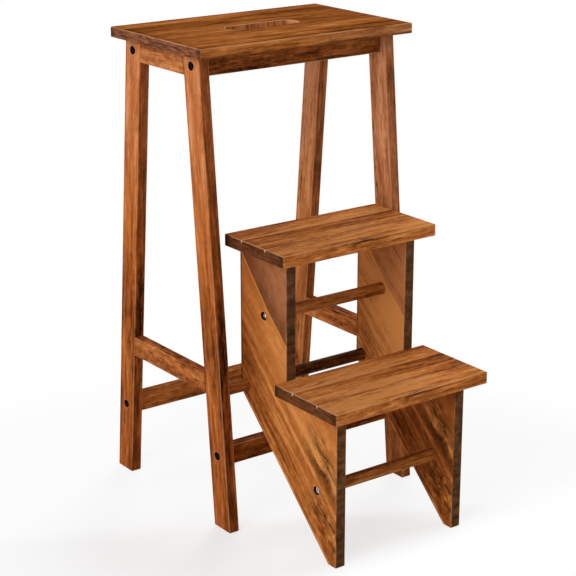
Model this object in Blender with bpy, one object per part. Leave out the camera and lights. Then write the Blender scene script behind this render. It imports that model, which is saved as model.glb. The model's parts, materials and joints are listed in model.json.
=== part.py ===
# Folding step stool in hardwood: a seat board on four splayed legs, and a two-step unit
# that stands in front of them and turns up and back into the frame on a round wooden rod.
# The stool stands on the floor, with its left side at -X and its steps towards -Y.

import math

import bmesh
import bpy
from mathutils import Matrix, Vector

# Clearances
touch_gap = 0.0003
running_gap = 0.0003
cut_overrun = 0.004

# Roundness of turned pieces and of drilled holes
rod_facets = 24
head_facets = 24
hidden_facets = 10
key_facets = 6
ease_segments = 2
smooth_angle = math.radians(35)

# Seat board, with its hand slot
seat_height = 0.650
seat_length = 0.343
seat_depth = 0.2162
seat_thickness = 0.014
seat_end_overhang = 0.0129
seat_front_overhang = 0.0247
seat_rear_overhang = 0.0176
seat_easing = 0.0016
slot_length = 0.114
slot_width = 0.034
slot_end_facets = 10

# Legs
leg_thickness = 0.0155
leg_width = 0.0361
front_splay = math.radians(5.22)
rear_splay = math.radians(4.95)
frame_easing = 0.0012

# Aprons under the seat, rails lower down, and how their ends sit in the legs
rail_thickness = 0.016
apron_height = 0.028
lower_rail_height = 0.0272
lower_rail_centre = 0.1037
side_rail_height = 0.0274
side_rail_centre = 0.1989
housing_depth = 0.004
tenon_length = 0.009
tenon_thickness = 0.007
tenon_shoulder = 0.0045

# Step unit: treads on two side panels
upper_tread_top = 0.4014
lower_tread_top = 0.2254
tread_thickness = 0.0162
tread_depth = 0.1293
tread_side_clearance = 0.01745
tread_end_overhang = 0.01925
tread_rear_overhang = 0.0071
upper_tread_nose = 0.0198
lower_tread_nose = 0.023
tread_easing = 0.0012
front_board_width = 0.0394
rear_board_width = 0.0384
groove_width = 0.0024
groove_depth = 0.0014
panel_thickness = 0.0154
panel_easing = 0.0012
foot_flat = 0.016

# Round rods
rod_diameter = 0.0163
pivot_height = 0.193
pivot_forward = 0.0035
pivot_rear_cover = 0.0132
pivot_slant_cover = 0.0163
pivot_bearing_depth = 0.010
upper_rod_drop = 0.0844
upper_rod_setback = 0.0495
lower_rod_height = 0.0949
lower_rod_setback = 0.041
rod_socket_depth = 0.004
rod_chamfer = 0.0008

# Bolts through the legs, with barrel nuts in the rails
bolt_shank_diameter = 0.006
bolt_head_diameter = 0.010
bolt_head_height = 0.005
bolt_chamfer = 0.0006
bolt_key_width = 0.005
bolt_key_depth = 0.0028
bolt_recess = 0.0025
bolt_well_clearance = 0.0005
bolt_past_nut = 0.003
nut_inset = 0.030
nut_diameter = 0.010
nut_length = 0.014
nut_chamfer = 0.0006
nut_slot_width = 0.0014
nut_slot_depth = 0.0015

# Bolts through the step panels, with threaded inserts in the rods
rod_bolt_head_diameter = 0.010
rod_bolt_head_height = 0.0042
rod_bolt_recess = 0.0023
rod_bolt_reach = 0.020
insert_diameter = 0.009
insert_length = 0.015
insert_chamfer = 0.0006
rod_bore_extra = 0.009

# Screws from below into the seat
screw_shank_diameter = 0.004
screw_head_diameter = 0.008
screw_head_height = 0.0026
screw_tip_length = 0.003
screw_tip_radius = 0.0004
screw_bite = 0.0095
screw_end_room = 0.0005
screw_well_depth = 0.014
screw_slot_width = 0.0014
screw_slot_depth = 0.0012
screw_inset = 0.026

# Dowels between panels and treads
dowel_diameter = 0.008
dowel_in_tread = 0.0105
dowel_in_panel = 0.014
dowel_chamfer = 0.0008
dowel_end_room = 0.0005
dowel_place_shares = (0.24, 0.76)

# Sizes that follow
seat_underside = seat_height - seat_thickness
leg_top = seat_underside - touch_gap
leg_outer_x = seat_length / 2 - seat_end_overhang
leg_inner_x = leg_outer_x - leg_thickness
front_leg_span = leg_width / math.cos(front_splay)
rear_leg_span = leg_width / math.cos(rear_splay)
apron_top = seat_underside - touch_gap
apron_bottom = apron_top - apron_height
apron_centre = (apron_top + apron_bottom) / 2
tread_half = leg_inner_x - tread_side_clearance
panel_outer_x = tread_half - tread_end_overhang
panel_inner_x = panel_outer_x - panel_thickness
rod_radius = rod_diameter / 2
bolt_shank_radius = bolt_shank_diameter / 2
bolt_seat_depth = bolt_head_height + bolt_recess
rod_bolt_seat_depth = rod_bolt_head_height + rod_bolt_recess


def front_leg_front(z):
    """The y of the front legs' front edge at a height."""
    return -seat_depth / 2 + seat_front_overhang - (seat_underside - z) * math.tan(front_splay)


def front_leg_back(z):
    return front_leg_front(z) + front_leg_span


def rear_leg_back(z):
    """The y of the rear legs' rear edge at a height."""
    return seat_depth / 2 - seat_rear_overhang + (seat_underside - z) * math.tan(rear_splay)


def rear_leg_front(z):
    return rear_leg_back(z) - rear_leg_span


def front_leg_middle(z):
    return front_leg_front(z) + front_leg_span / 2


def rear_leg_middle(z):
    return rear_leg_back(z) - rear_leg_span / 2


# The step unit is laid out from the pivot rod, which sits in the front legs
pivot_y = front_leg_middle(pivot_height) - pivot_forward
panel_rear_y = pivot_y + pivot_rear_cover
upper_tread_rear_y = panel_rear_y + tread_rear_overhang
upper_tread_front_y = upper_tread_rear_y - tread_depth
panel_upper_front_y = upper_tread_front_y + upper_tread_nose
lower_tread_rear_y = panel_upper_front_y - touch_gap
lower_tread_front_y = lower_tread_rear_y - tread_depth
panel_lower_front_y = lower_tread_front_y + lower_tread_nose
foot_rear_y = panel_lower_front_y + foot_flat
panel_top = upper_tread_top - tread_thickness - touch_gap
panel_ledge = lower_tread_top - tread_thickness - touch_gap
upper_rod_place = (panel_upper_front_y + upper_rod_setback, panel_top - upper_rod_drop)
lower_rod_place = (panel_lower_front_y + lower_rod_setback, lower_rod_height)

# The slanted edge runs from the foot and passes below the pivot rod at a set distance
foot_to_pivot = math.hypot(pivot_y - foot_rear_y, pivot_height)
slant_angle = math.atan2(pivot_height, pivot_y - foot_rear_y) - math.asin(pivot_slant_cover / foot_to_pivot)
slant_end_z = (panel_rear_y - foot_rear_y) * math.tan(slant_angle)

# The origin is on the floor, in the middle of the stool's outer box
stool_shift = -(lower_tread_front_y + rear_leg_back(0)) / 2

# Places of the four cross members: the y and z of the middle of each
cross_members = {
    "front_apron": (front_leg_middle(apron_centre), apron_centre, apron_height),
    "rear_apron": (rear_leg_middle(apron_centre), apron_centre, apron_height),
    "front_lower_rail": (front_leg_middle(lower_rail_centre), lower_rail_centre, lower_rail_height),
    "rear_lower_rail": (rear_leg_middle(lower_rail_centre), lower_rail_centre, lower_rail_height),
}


def clear_scene():
    for thing in list(bpy.data.objects):
        bpy.data.objects.remove(thing)


def make_material(name, colour, roughness, metallic=0.0):
    material = bpy.data.materials.new(name)
    material.use_nodes = True
    shader = material.node_tree.nodes["Principled BSDF"]
    shader.inputs["Base Color"].default_value = (*colour, 1.0)
    shader.inputs["Roughness"].default_value = roughness
    shader.inputs["Metallic"].default_value = metallic
    material.diffuse_color = (*colour, 1.0)
    return material


def mesh_from(bm, name):
    bmesh.ops.recalc_face_normals(bm, faces=bm.faces)
    mesh = bpy.data.meshes.new(name)
    bm.to_mesh(mesh)
    bm.free()
    return mesh


def ease_edges(bm, width, wanted):
    """Rounds the edges that the test wants, as a router or sandpaper would."""
    edges = [edge for edge in bm.edges if wanted(edge.verts[0].co, edge.verts[1].co)]
    bmesh.ops.bevel(bm, geom=edges, offset=width, segments=ease_segments, profile=0.5, affect="EDGES")


def every_edge(start, end):
    return True


def runs_along(axis):
    """A test for edges whose direction is mostly the given axis."""
    def wanted(start, end):
        run = end - start
        return abs(run[axis]) > run.length / 2
    return wanted


def prism(outline, low, high, axis):
    """A closed solid: an outline in the plane square to an axis, drawn from low to high along it."""
    bm = bmesh.new()
    turns = {0: lambda a, b, c: (c, a, b), 1: lambda a, b, c: (a, c, b), 2: lambda a, b, c: (a, b, c)}
    spot = turns[axis]
    near = [bm.verts.new(spot(a, b, low)) for a, b in outline]
    far = [bm.verts.new(spot(a, b, high)) for a, b in outline]
    bm.faces.new(near)
    bm.faces.new(far)
    for index in range(len(outline)):
        after = (index + 1) % len(outline)
        bm.faces.new((near[index], near[after], far[after], far[index]))
    bmesh.ops.recalc_face_normals(bm, faces=bm.faces)
    return bm


def box(low, high):
    corners = [(low[0], low[1]), (high[0], low[1]), (high[0], high[1]), (low[0], high[1])]
    return prism(corners, low[2], high[2], 2)


def turned(profile, facets, ring=False):
    """A turned solid about Z from points of (radius, height), with flat ends, or open as a ring."""
    bm = bmesh.new()
    angles = [2 * math.pi * step / facets for step in range(facets)]
    loops = [[bm.verts.new((radius * math.cos(a), radius * math.sin(a), height)) for a in angles]
             for radius, height in profile]
    pairs = list(zip(loops, loops[1:]))
    if ring:
        pairs.append((loops[-1], loops[0]))
    else:
        bm.faces.new(loops[0])
        bm.faces.new(loops[-1])
    for lower, upper in pairs:
        for step in range(facets):
            after = (step + 1) % facets
            bm.faces.new((lower[step], lower[after], upper[after], upper[step]))
    bmesh.ops.recalc_face_normals(bm, faces=bm.faces)
    return bm


def bore(start, towards, steps, facets=hidden_facets):
    """A cutter as a stepped drill leaves it: each step is a radius and how far along it reaches."""
    profile, reached = [], 0
    for radius, reach in steps:
        profile += [(radius, reached), (radius, reach)]
        reached = reach
    bm = turned(profile, facets)
    turn = Vector((0, 0, 1)).rotation_difference(Vector(towards)).to_matrix().to_4x4()
    bmesh.ops.transform(bm, matrix=Matrix.Translation(start) @ turn, verts=bm.verts)
    return bm


def carve(name, bm, cuts, joins=()):
    """The mesh of a blank after the joins are added to it and then the cuts taken out of it."""
    blank = bpy.data.objects.new(name, mesh_from(bm, name))
    bpy.context.scene.collection.objects.link(blank)
    for operation, tools in (("UNION", joins), ("DIFFERENCE", cuts)):
        if not tools:
            continue
        rack = bpy.data.collections.new("tools")
        bpy.context.scene.collection.children.link(rack)
        for tool in tools:
            rack.objects.link(bpy.data.objects.new("tool", mesh_from(tool, "tool")))
        change = blank.modifiers.new("carve", "BOOLEAN")
        change.operation = operation
        change.solver = "EXACT"
        change.operand_type = "COLLECTION"
        change.collection = rack
        depsgraph = bpy.context.evaluated_depsgraph_get()
        result = bpy.data.meshes.new_from_object(blank.evaluated_get(depsgraph))
        blank.modifiers.clear()
        blank.data = result
        for tool in list(rack.objects):
            bpy.data.objects.remove(tool)
        bpy.data.collections.remove(rack)
    mesh = blank.data
    mesh.name = name
    bpy.data.objects.remove(blank)
    return mesh


def add_piece(name, mesh, material, group, place=(0, 0, 0), turn=(0, 0, 0)):
    """Puts a mesh in the scene under its group's empty, at a place in the stool's own space."""
    piece = bpy.data.objects.new(name, mesh)
    bpy.context.scene.collection.objects.link(piece)
    if not mesh.materials:
        mesh.materials.append(material)
    piece.parent = group
    offset = group.location if group.parent else Vector((0, 0, 0))
    piece.location = Vector(place) - offset
    piece.rotation_euler = turn
    return piece


def carved_piece(name, bm, material, group, cuts, joins=()):
    """A piece drawn in the stool's own space, cut there and put under its group."""
    return add_piece(name, carve(name, bm, cuts, joins), material, group)


def smooth_round(piece):
    piece.data.shade_smooth()
    piece.data.set_sharp_from_angle(angle=smooth_angle)


def make_groups():
    """The empties that carry the frame and, on the pivot's axis, the step unit."""
    stool = bpy.data.objects.new("stool", None)
    stool.location = (0, stool_shift, 0)
    bpy.context.scene.collection.objects.link(stool)
    steps = bpy.data.objects.new("steps", None)
    steps.parent = stool
    steps.location = (0, pivot_y, pivot_height)
    bpy.context.scene.collection.objects.link(steps)
    return stool, steps


def slot_outline():
    """The hand slot: two straight sides and two half-round ends."""
    radius = slot_width / 2
    straight = slot_length / 2 - radius
    points = []
    for side, start in ((1, -math.pi / 2), (-1, math.pi / 2)):
        for step in range(slot_end_facets + 1):
            angle = start + math.pi * step / slot_end_facets
            points.append((side * straight + radius * math.cos(angle), radius * math.sin(angle)))
    return points


def screw_places():
    """Where the seat screws stand: two in each side apron, and one in each cross apron."""
    front_y = front_leg_back(apron_centre)
    rear_y = rear_leg_front(apron_centre)
    side_x = (leg_outer_x + leg_inner_x) / 2
    places = {}
    for side, sign in (("left", -1), ("right", 1)):
        places[f"{side}_front"] = (sign * side_x, front_y + screw_inset)
        places[f"{side}_rear"] = (sign * side_x, rear_y - screw_inset)
    for name in ("front", "rear"):
        places[name] = (0, cross_members[f"{name}_apron"][0])
    return places


def make_seat(material, group):
    half_x, half_y = seat_length / 2, seat_depth / 2
    bm = box((-half_x, -half_y, seat_underside), (half_x, half_y, seat_height))
    ease_edges(bm, seat_easing, every_edge)
    cuts = [prism(slot_outline(), seat_underside - cut_overrun, seat_height + cut_overrun, 2)]
    pilot = [(screw_shank_diameter / 2 + touch_gap, cut_overrun + screw_bite + screw_end_room)]
    for x, y in screw_places().values():
        cuts.append(bore((x, y, seat_underside - cut_overrun), (0, 0, 1), pilot))
    carved_piece("seat_board", bm, material, group, cuts)


def tenon(y_low, y_high, centre_z, height, side, gap):
    """The flat tongue on a side rail's end, or with a gap the mortise that takes it."""
    middle_x = side * (leg_outer_x + leg_inner_x) / 2
    half_x = tenon_thickness / 2 + gap
    half_z = height / 2 - tenon_shoulder + gap
    return box((middle_x - half_x, y_low, centre_z - half_z), (middle_x + half_x, y_high, centre_z + half_z))


def make_leg(name, front, side, material, group):
    """A leg: a slanted bar, housed for the cross members, mortised, drilled and cut flat at the floor."""
    near = front_leg_front if front else rear_leg_front
    far = front_leg_back if front else rear_leg_back
    outline = [(near(0), 0), (far(0), 0), (far(leg_top), leg_top), (near(leg_top), leg_top)]
    low_x, high_x = sorted((side * leg_inner_x, side * leg_outer_x))
    bm = prism(outline, low_x, high_x, 0)
    ease_edges(bm, frame_easing, lambda a, b: max(a.z, b.z) < leg_top or min(a.z, b.z) < leg_top)
    cuts = []
    place_word = "front" if front else "rear"
    for member in (f"{place_word}_apron", f"{place_word}_lower_rail"):
        y, z, height = cross_members[member]
        half_y = rail_thickness / 2 + touch_gap
        half_z = height / 2 + touch_gap
        top = leg_top + cut_overrun if member.endswith("apron") else z + half_z
        pocket_x = sorted((side * (leg_inner_x - cut_overrun), side * (leg_inner_x + housing_depth)))
        cuts.append(box((pocket_x[0], y - half_y, z - half_z), (pocket_x[1], y + half_y, top)))
        steps = [(bolt_shank_radius + touch_gap, cut_overrun + leg_thickness - bolt_seat_depth),
                 (bolt_head_diameter / 2 + bolt_well_clearance, cut_overrun + leg_thickness + cut_overrun)]
        cuts.append(bore((side * (leg_inner_x - cut_overrun), y, z), (side, 0, 0), steps, head_facets))
    for centre, height in ((apron_centre, apron_height), (side_rail_centre, side_rail_height)):
        if front:
            edge = front_leg_back(centre)
            reach = (edge - tenon_length - touch_gap, edge + cut_overrun)
        else:
            edge = rear_leg_front(centre)
            reach = (edge - cut_overrun, edge + tenon_length + touch_gap)
        cuts.append(tenon(*reach, centre, height, side, touch_gap))
    if front:
        start = (side * (leg_inner_x - cut_overrun), pivot_y, pivot_height)
        bearing = [(rod_radius + running_gap, cut_overrun + pivot_bearing_depth)]
        cuts.append(bore(start, (side, 0, 0), bearing, rod_facets))
    carved_piece(name, bm, material, group, cuts)


def make_side_member(name, centre, height, side, material, group):
    """A side apron or rail: flush with the legs, shouldered to their slope, with a tenon at each end."""
    low, high = centre - height / 2, centre + height / 2
    outline = [(front_leg_back(low) + touch_gap, low), (rear_leg_front(low) - touch_gap, low),
               (rear_leg_front(high) - touch_gap, high), (front_leg_back(high) + touch_gap, high)]
    low_x, high_x = sorted((side * leg_inner_x, side * leg_outer_x))
    bm = prism(outline, low_x, high_x, 0)
    ease_edges(bm, frame_easing, runs_along(1))
    front_edge, rear_edge = front_leg_back(centre), rear_leg_front(centre)
    bar = tenon(front_edge - tenon_length + touch_gap, rear_edge + tenon_length - touch_gap,
                centre, height, side, 0)
    cuts = []
    if high > apron_bottom:
        cuts = [screw_bore(x, y) for x, y in screw_places().values() if x * side > 0]
    carved_piece(name, bm, material, group, cuts, [bar])


def screw_bore(x, y):
    """The deep well and, above it, the clearance hole for one seat screw in an apron."""
    steps = [(screw_head_diameter / 2 + touch_gap, cut_overrun + screw_well_depth),
             (screw_shank_diameter / 2 + touch_gap, cut_overrun + apron_height + cut_overrun)]
    return bore((x, y, apron_bottom - cut_overrun), (0, 0, 1), steps)


def make_cross_member(name, material, group):
    """An apron or lower rail between left and right legs, housed in them and bored for its bolts."""
    y, z, height = cross_members[name]
    half_x = leg_inner_x + housing_depth - touch_gap
    half_y, half_z = rail_thickness / 2, height / 2
    bm = box((-half_x, y - half_y, z - half_z), (half_x, y + half_y, z + half_z))
    ease_edges(bm, frame_easing, runs_along(0))
    cuts = []
    for side in (-1, 1):
        nut_x = side * (leg_inner_x - nut_inset)
        depth = half_x - (leg_inner_x - nut_inset) + nut_diameter / 2 + bolt_past_nut + touch_gap
        bolt_hole = [(bolt_shank_radius + touch_gap, cut_overrun + depth)]
        cuts.append(bore((side * (half_x + cut_overrun), y, z), (-side, 0, 0), bolt_hole))
        nut_hole = [(nut_diameter / 2 + touch_gap, cut_overrun + half_z + nut_length / 2 + touch_gap)]
        cuts.append(bore((nut_x, y, z - half_z - cut_overrun), (0, 0, 1), nut_hole))
    if name.endswith("apron"):
        cuts.append(screw_bore(0, y))
    carved_piece(name, bm, material, group, cuts)


def panel_outline():
    """A step panel from the side, as (y, z): foot, slanted edge, rear edge, top, ledge and fronts."""
    return [(panel_lower_front_y, 0), (foot_rear_y, 0), (panel_rear_y, slant_end_z),
            (panel_rear_y, panel_top), (panel_upper_front_y, panel_top),
            (panel_upper_front_y, panel_ledge), (panel_lower_front_y, panel_ledge)]


def dowel_places():
    """The y and the seat height of each dowel row: two under each tread on each panel."""
    rows = {"upper": (panel_upper_front_y, panel_rear_y, panel_top),
            "lower": (panel_lower_front_y, panel_upper_front_y, panel_ledge)}
    places = {}
    for row, (start, end, height) in rows.items():
        for word, share in zip(("front", "rear"), dowel_place_shares):
            places[row, word] = (start + (end - start) * share, height)
    return places


def make_panel(name, side, material, group):
    low_x, high_x = sorted((side * panel_inner_x, side * panel_outer_x))
    bm = prism(panel_outline(), low_x, high_x, 0)
    ease_edges(bm, panel_easing, every_edge)
    inside = side * (panel_inner_x - cut_overrun)
    through = cut_overrun + panel_thickness + cut_overrun
    cuts = [bore((inside, pivot_y, pivot_height), (side, 0, 0), [(rod_radius + touch_gap, through)], rod_facets)]
    steps = [(rod_radius + touch_gap, cut_overrun + rod_socket_depth),
             (bolt_shank_radius + touch_gap, cut_overrun + panel_thickness - rod_bolt_seat_depth),
             (rod_bolt_head_diameter / 2 + bolt_well_clearance, through)]
    for y, z in (upper_rod_place, lower_rod_place):
        cuts.append(bore((inside, y, z), (side, 0, 0), steps, head_facets))
    middle_x = side * (panel_inner_x + panel_outer_x) / 2
    dowel_hole = [(dowel_diameter / 2 + touch_gap, cut_overrun + dowel_in_panel + dowel_end_room)]
    for y, height in dowel_places().values():
        cuts.append(bore((middle_x, y, height + cut_overrun), (0, 0, -1), dowel_hole))
    carved_piece(name, bm, material, group, cuts)


def make_tread(name, rear_y, top, row, material, group):
    """A tread of three boards: two V grooves mark where the boards meet."""
    front_y = rear_y - tread_depth
    bottom = top - tread_thickness
    bm = box((-tread_half, front_y, bottom), (tread_half, rear_y, top))
    ease_edges(bm, tread_easing, every_edge)
    cuts = []
    reach = tread_half + cut_overrun
    half_top = groove_width / 2 * (1 + cut_overrun / groove_depth)
    for middle in (front_y + front_board_width, rear_y - rear_board_width):
        notch = [(middle, top - groove_depth), (middle + half_top, top + cut_overrun),
                 (middle - half_top, top + cut_overrun)]
        cuts.append(prism(notch, -reach, reach, 0))
    middle_x = (panel_inner_x + panel_outer_x) / 2
    dowel_hole = [(dowel_diameter / 2 + touch_gap, cut_overrun + dowel_in_tread + dowel_end_room)]
    for side in (-1, 1):
        for (dowel_row, _), (y, height) in dowel_places().items():
            if dowel_row == row:
                cuts.append(bore((side * middle_x, y, height - cut_overrun), (0, 0, 1), dowel_hole))
    carved_piece(name, bm, material, group, cuts)


def make_rod(name, place, half_length, has_bores, material, group):
    """A round rod along X; the two fixed ones are bored at both ends for their inserts and bolts."""
    y, z = place
    profile = [(rod_radius - rod_chamfer, -half_length), (rod_radius, -half_length + rod_chamfer),
               (rod_radius, half_length - rod_chamfer), (rod_radius - rod_chamfer, half_length)]
    bm = turned(profile, rod_facets)
    turn = Matrix.Rotation(math.pi / 2, 4, "Y")
    bmesh.ops.transform(bm, matrix=Matrix.Translation((0, y, z)) @ turn, verts=bm.verts)
    cuts = []
    if has_bores:
        insert_hole = [(insert_diameter / 2 + touch_gap, cut_overrun + insert_length + rod_bore_extra)]
        for side in (-1, 1):
            cuts.append(bore((side * (half_length + cut_overrun), y, z), (-side, 0, 0), insert_hole))
    piece = carved_piece(name, bm, material, group, cuts)
    smooth_round(piece)


def bolt_mesh(name, head_diameter, head_height, length):
    """A socket-head bolt along +Z, with its head's underside at the origin and its shank below."""
    head, shank = head_diameter / 2, bolt_shank_radius
    profile = [(shank - bolt_chamfer, -length), (shank, -length + bolt_chamfer), (shank, 0),
               (head, 0), (head, head_height - bolt_chamfer), (head - bolt_chamfer, head_height)]
    across = bolt_key_width / 2 / math.cos(math.pi / key_facets)
    socket = [(across, cut_overrun + bolt_key_depth)]
    key = bore((0, 0, head_height + cut_overrun), (0, 0, -1), socket, key_facets)
    return carve(name, turned(profile, head_facets), [key])


def nut_mesh(name):
    """A barrel nut standing along Z, cross-drilled for its bolt, with a screwdriver slot below."""
    radius, half = nut_diameter / 2, nut_length / 2
    profile = [(radius - nut_chamfer, -half), (radius, -half + nut_chamfer),
               (radius, half - nut_chamfer), (radius - nut_chamfer, half)]
    reach = radius + cut_overrun
    thread = bore((-reach, 0, 0), (1, 0, 0), [(bolt_shank_radius + touch_gap, 2 * reach)])
    half_slot = nut_slot_width / 2
    slot = box((-half_slot, -reach, -half - cut_overrun), (half_slot, reach, -half + nut_slot_depth))
    return carve(name, turned(profile, hidden_facets), [thread, slot])


def insert_mesh(name):
    """A threaded sleeve along Z with its outer end at the origin."""
    outer, inner = insert_diameter / 2, bolt_shank_radius + touch_gap
    profile = [(inner, -insert_length), (outer - insert_chamfer, -insert_length),
               (outer, -insert_length + insert_chamfer), (outer, -insert_chamfer),
               (outer - insert_chamfer, 0), (inner, 0)]
    return mesh_from(turned(profile, hidden_facets, ring=True), name)


def screw_mesh(name):
    """A seat screw pointing up along +Z, with its head's upper side at the origin."""
    head, shank = screw_head_diameter / 2, screw_shank_diameter / 2
    length = apron_top - apron_bottom - screw_well_depth + touch_gap + screw_bite
    profile = [(head, -screw_head_height), (head, 0), (shank, 0),
               (shank, length - screw_tip_length), (screw_tip_radius, length)]
    slot_top = -screw_head_height + screw_slot_depth
    half = screw_slot_width / 2
    low = -screw_head_height - cut_overrun
    slots = [box((-half, -shank, low), (half, shank, slot_top)),
             box((-shank, -half, low), (shank, half, slot_top))]
    return carve(name, turned(profile, hidden_facets), slots)


def dowel_mesh(name):
    """A dowel along Z, with the joint's face at the origin."""
    radius, low, high = dowel_diameter / 2, -dowel_in_panel, dowel_in_tread
    profile = [(radius - dowel_chamfer, low), (radius, low + dowel_chamfer),
               (radius, high - dowel_chamfer), (radius - dowel_chamfer, high)]
    return mesh_from(turned(profile, hidden_facets), name)


def outward_turn(side):
    """The turn that points a bolt's head, drawn towards +Z, out to the left or right."""
    return (0, side * math.pi / 2, 0)


def make_frame_fasteners(steel, zinc, group):
    head_seat_x = leg_outer_x - bolt_seat_depth
    length = head_seat_x - (leg_inner_x - nut_inset - nut_diameter / 2 - bolt_past_nut)
    bolt = bolt_mesh("frame_bolt", bolt_head_diameter, bolt_head_height, length - touch_gap)
    nut = nut_mesh("barrel_nut")
    for member, (y, z, _) in cross_members.items():
        for word, side in (("left", -1), ("right", 1)):
            place = (side * (head_seat_x + touch_gap), y, z)
            smooth_round(add_piece(f"frame_bolt_{member}_{word}", bolt, steel, group, place, outward_turn(side)))
            place = (side * (leg_inner_x - nut_inset), y, z)
            smooth_round(add_piece(f"barrel_nut_{member}_{word}", nut, zinc, group, place))


def make_rod_fasteners(bright, brass, group, socket_end_x):
    head_seat_x = panel_outer_x - rod_bolt_seat_depth
    length = head_seat_x - socket_end_x + rod_bolt_reach
    bolt = bolt_mesh("rod_bolt", rod_bolt_head_diameter, rod_bolt_head_height, length)
    insert = insert_mesh("rod_insert")
    for row, (y, z) in (("upper", upper_rod_place), ("lower", lower_rod_place)):
        for word, side in (("left", -1), ("right", 1)):
            place = (side * (head_seat_x + touch_gap), y, z)
            smooth_round(add_piece(f"rod_bolt_{row}_{word}", bolt, bright, group, place, outward_turn(side)))
            place = (side * socket_end_x, y, z)
            smooth_round(add_piece(f"rod_insert_{row}_{word}", insert, brass, group, place, outward_turn(side)))


def make_seat_screws(zinc, group):
    mesh = screw_mesh("seat_screw")
    head_top = apron_bottom + screw_well_depth - touch_gap
    for word, (x, y) in screw_places().items():
        smooth_round(add_piece(f"seat_screw_{word}", mesh, zinc, group, (x, y, head_top)))


def make_dowels(material, group):
    mesh = dowel_mesh("tread_dowel")
    middle_x = (panel_inner_x + panel_outer_x) / 2
    for (row, word), (y, height) in dowel_places().items():
        for side_word, side in (("left", -1), ("right", 1)):
            place = (side * middle_x, y, height)
            smooth_round(add_piece(f"tread_dowel_{row}_{side_word}_{word}", mesh, material, group, place))


def print_motion():
    """Prints the pivot's place and the turn at which the upper tread's nose meets the rear lower rail."""
    y, z, height = cross_members["rear_lower_rail"]
    nose_y, nose_z = upper_tread_front_y - pivot_y, upper_tread_top - pivot_height
    radius = math.hypot(nose_y, nose_z)
    corner_y, corner_z = y - rail_thickness / 2 - pivot_y, z + height / 2 - pivot_height
    lean = math.atan2(-nose_y, nose_z)
    meets = math.degrees(lean + math.acos(corner_z / radius))
    print("pivot axis at", round(pivot_y + stool_shift, 5), pivot_height)
    print("nose radius", round(radius, 5), "rail corner radius", round(math.hypot(corner_y, corner_z), 5))
    print("the nose reaches the rear rail's top at", round(meets, 2), "degrees")


def make_stool():
    clear_scene()
    stool, steps = make_groups()
    frame_wood = make_material("frame_wood", (0.36, 0.15, 0.055), 0.5)
    seat_wood = make_material("seat_wood", (0.48, 0.23, 0.085), 0.45)
    panel_wood = make_material("panel_wood", (0.44, 0.19, 0.07), 0.5)
    tread_wood = make_material("tread_wood", (0.46, 0.21, 0.08), 0.45)
    rod_wood = make_material("rod_wood", (0.25, 0.09, 0.03), 0.5)
    dowel_wood = make_material("dowel_wood", (0.62, 0.44, 0.26), 0.7)
    black_steel = make_material("black_steel", (0.02, 0.02, 0.02), 0.45, 1.0)
    bright_steel = make_material("bright_steel", (0.75, 0.73, 0.68), 0.25, 1.0)
    zinc = make_material("zinc_plate", (0.6, 0.6, 0.62), 0.35, 1.0)
    brass = make_material("insert_brass", (0.72, 0.52, 0.2), 0.35, 1.0)

    make_seat(seat_wood, stool)
    for word, side in (("left", -1), ("right", 1)):
        make_leg(f"front_leg_{word}", True, side, frame_wood, stool)
        make_leg(f"rear_leg_{word}", False, side, frame_wood, stool)
        make_side_member(f"side_apron_{word}", apron_centre, apron_height, side, frame_wood, stool)
        make_side_member(f"side_rail_{word}", side_rail_centre, side_rail_height, side, frame_wood, stool)
        make_panel(f"step_panel_{word}", side, panel_wood, steps)
    for name in cross_members:
        make_cross_member(name, frame_wood, stool)
    make_tread("upper_tread", upper_tread_rear_y, upper_tread_top, "upper", tread_wood, steps)
    make_tread("lower_tread", lower_tread_rear_y, lower_tread_top, "lower", tread_wood, steps)
    socket_end_x = panel_inner_x + rod_socket_depth - touch_gap
    make_rod("upper_rod", upper_rod_place, socket_end_x, True, rod_wood, steps)
    make_rod("lower_rod", lower_rod_place, socket_end_x, True, rod_wood, steps)
    bearing_end_x = leg_inner_x + pivot_bearing_depth - running_gap
    make_rod("pivot_rod", (pivot_y, pivot_height), bearing_end_x, False, rod_wood, steps)
    make_frame_fasteners(black_steel, zinc, stool)
    make_rod_fasteners(bright_steel, brass, steps, socket_end_x)
    make_seat_screws(zinc, stool)
    make_dowels(dowel_wood, steps)
    print_motion()


make_stool()
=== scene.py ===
# %% [markdown]
# The object is a folding step stool in stained hardwood: a tall seat on four splayed legs,
# and a unit of two steps that turns back into the frame on a round rod. The packed CAD model
# gives every piece its size and place. This lesson dresses it: smoother pieces where light
# runs over a rounded edge, wood with its grain along each piece, dull and bright steel, and a
# plain pale studio.

import json
import math
from collections import namedtuple
from types import SimpleNamespace

import bmesh
import bpy
from mathutils import Matrix, Vector

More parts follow.
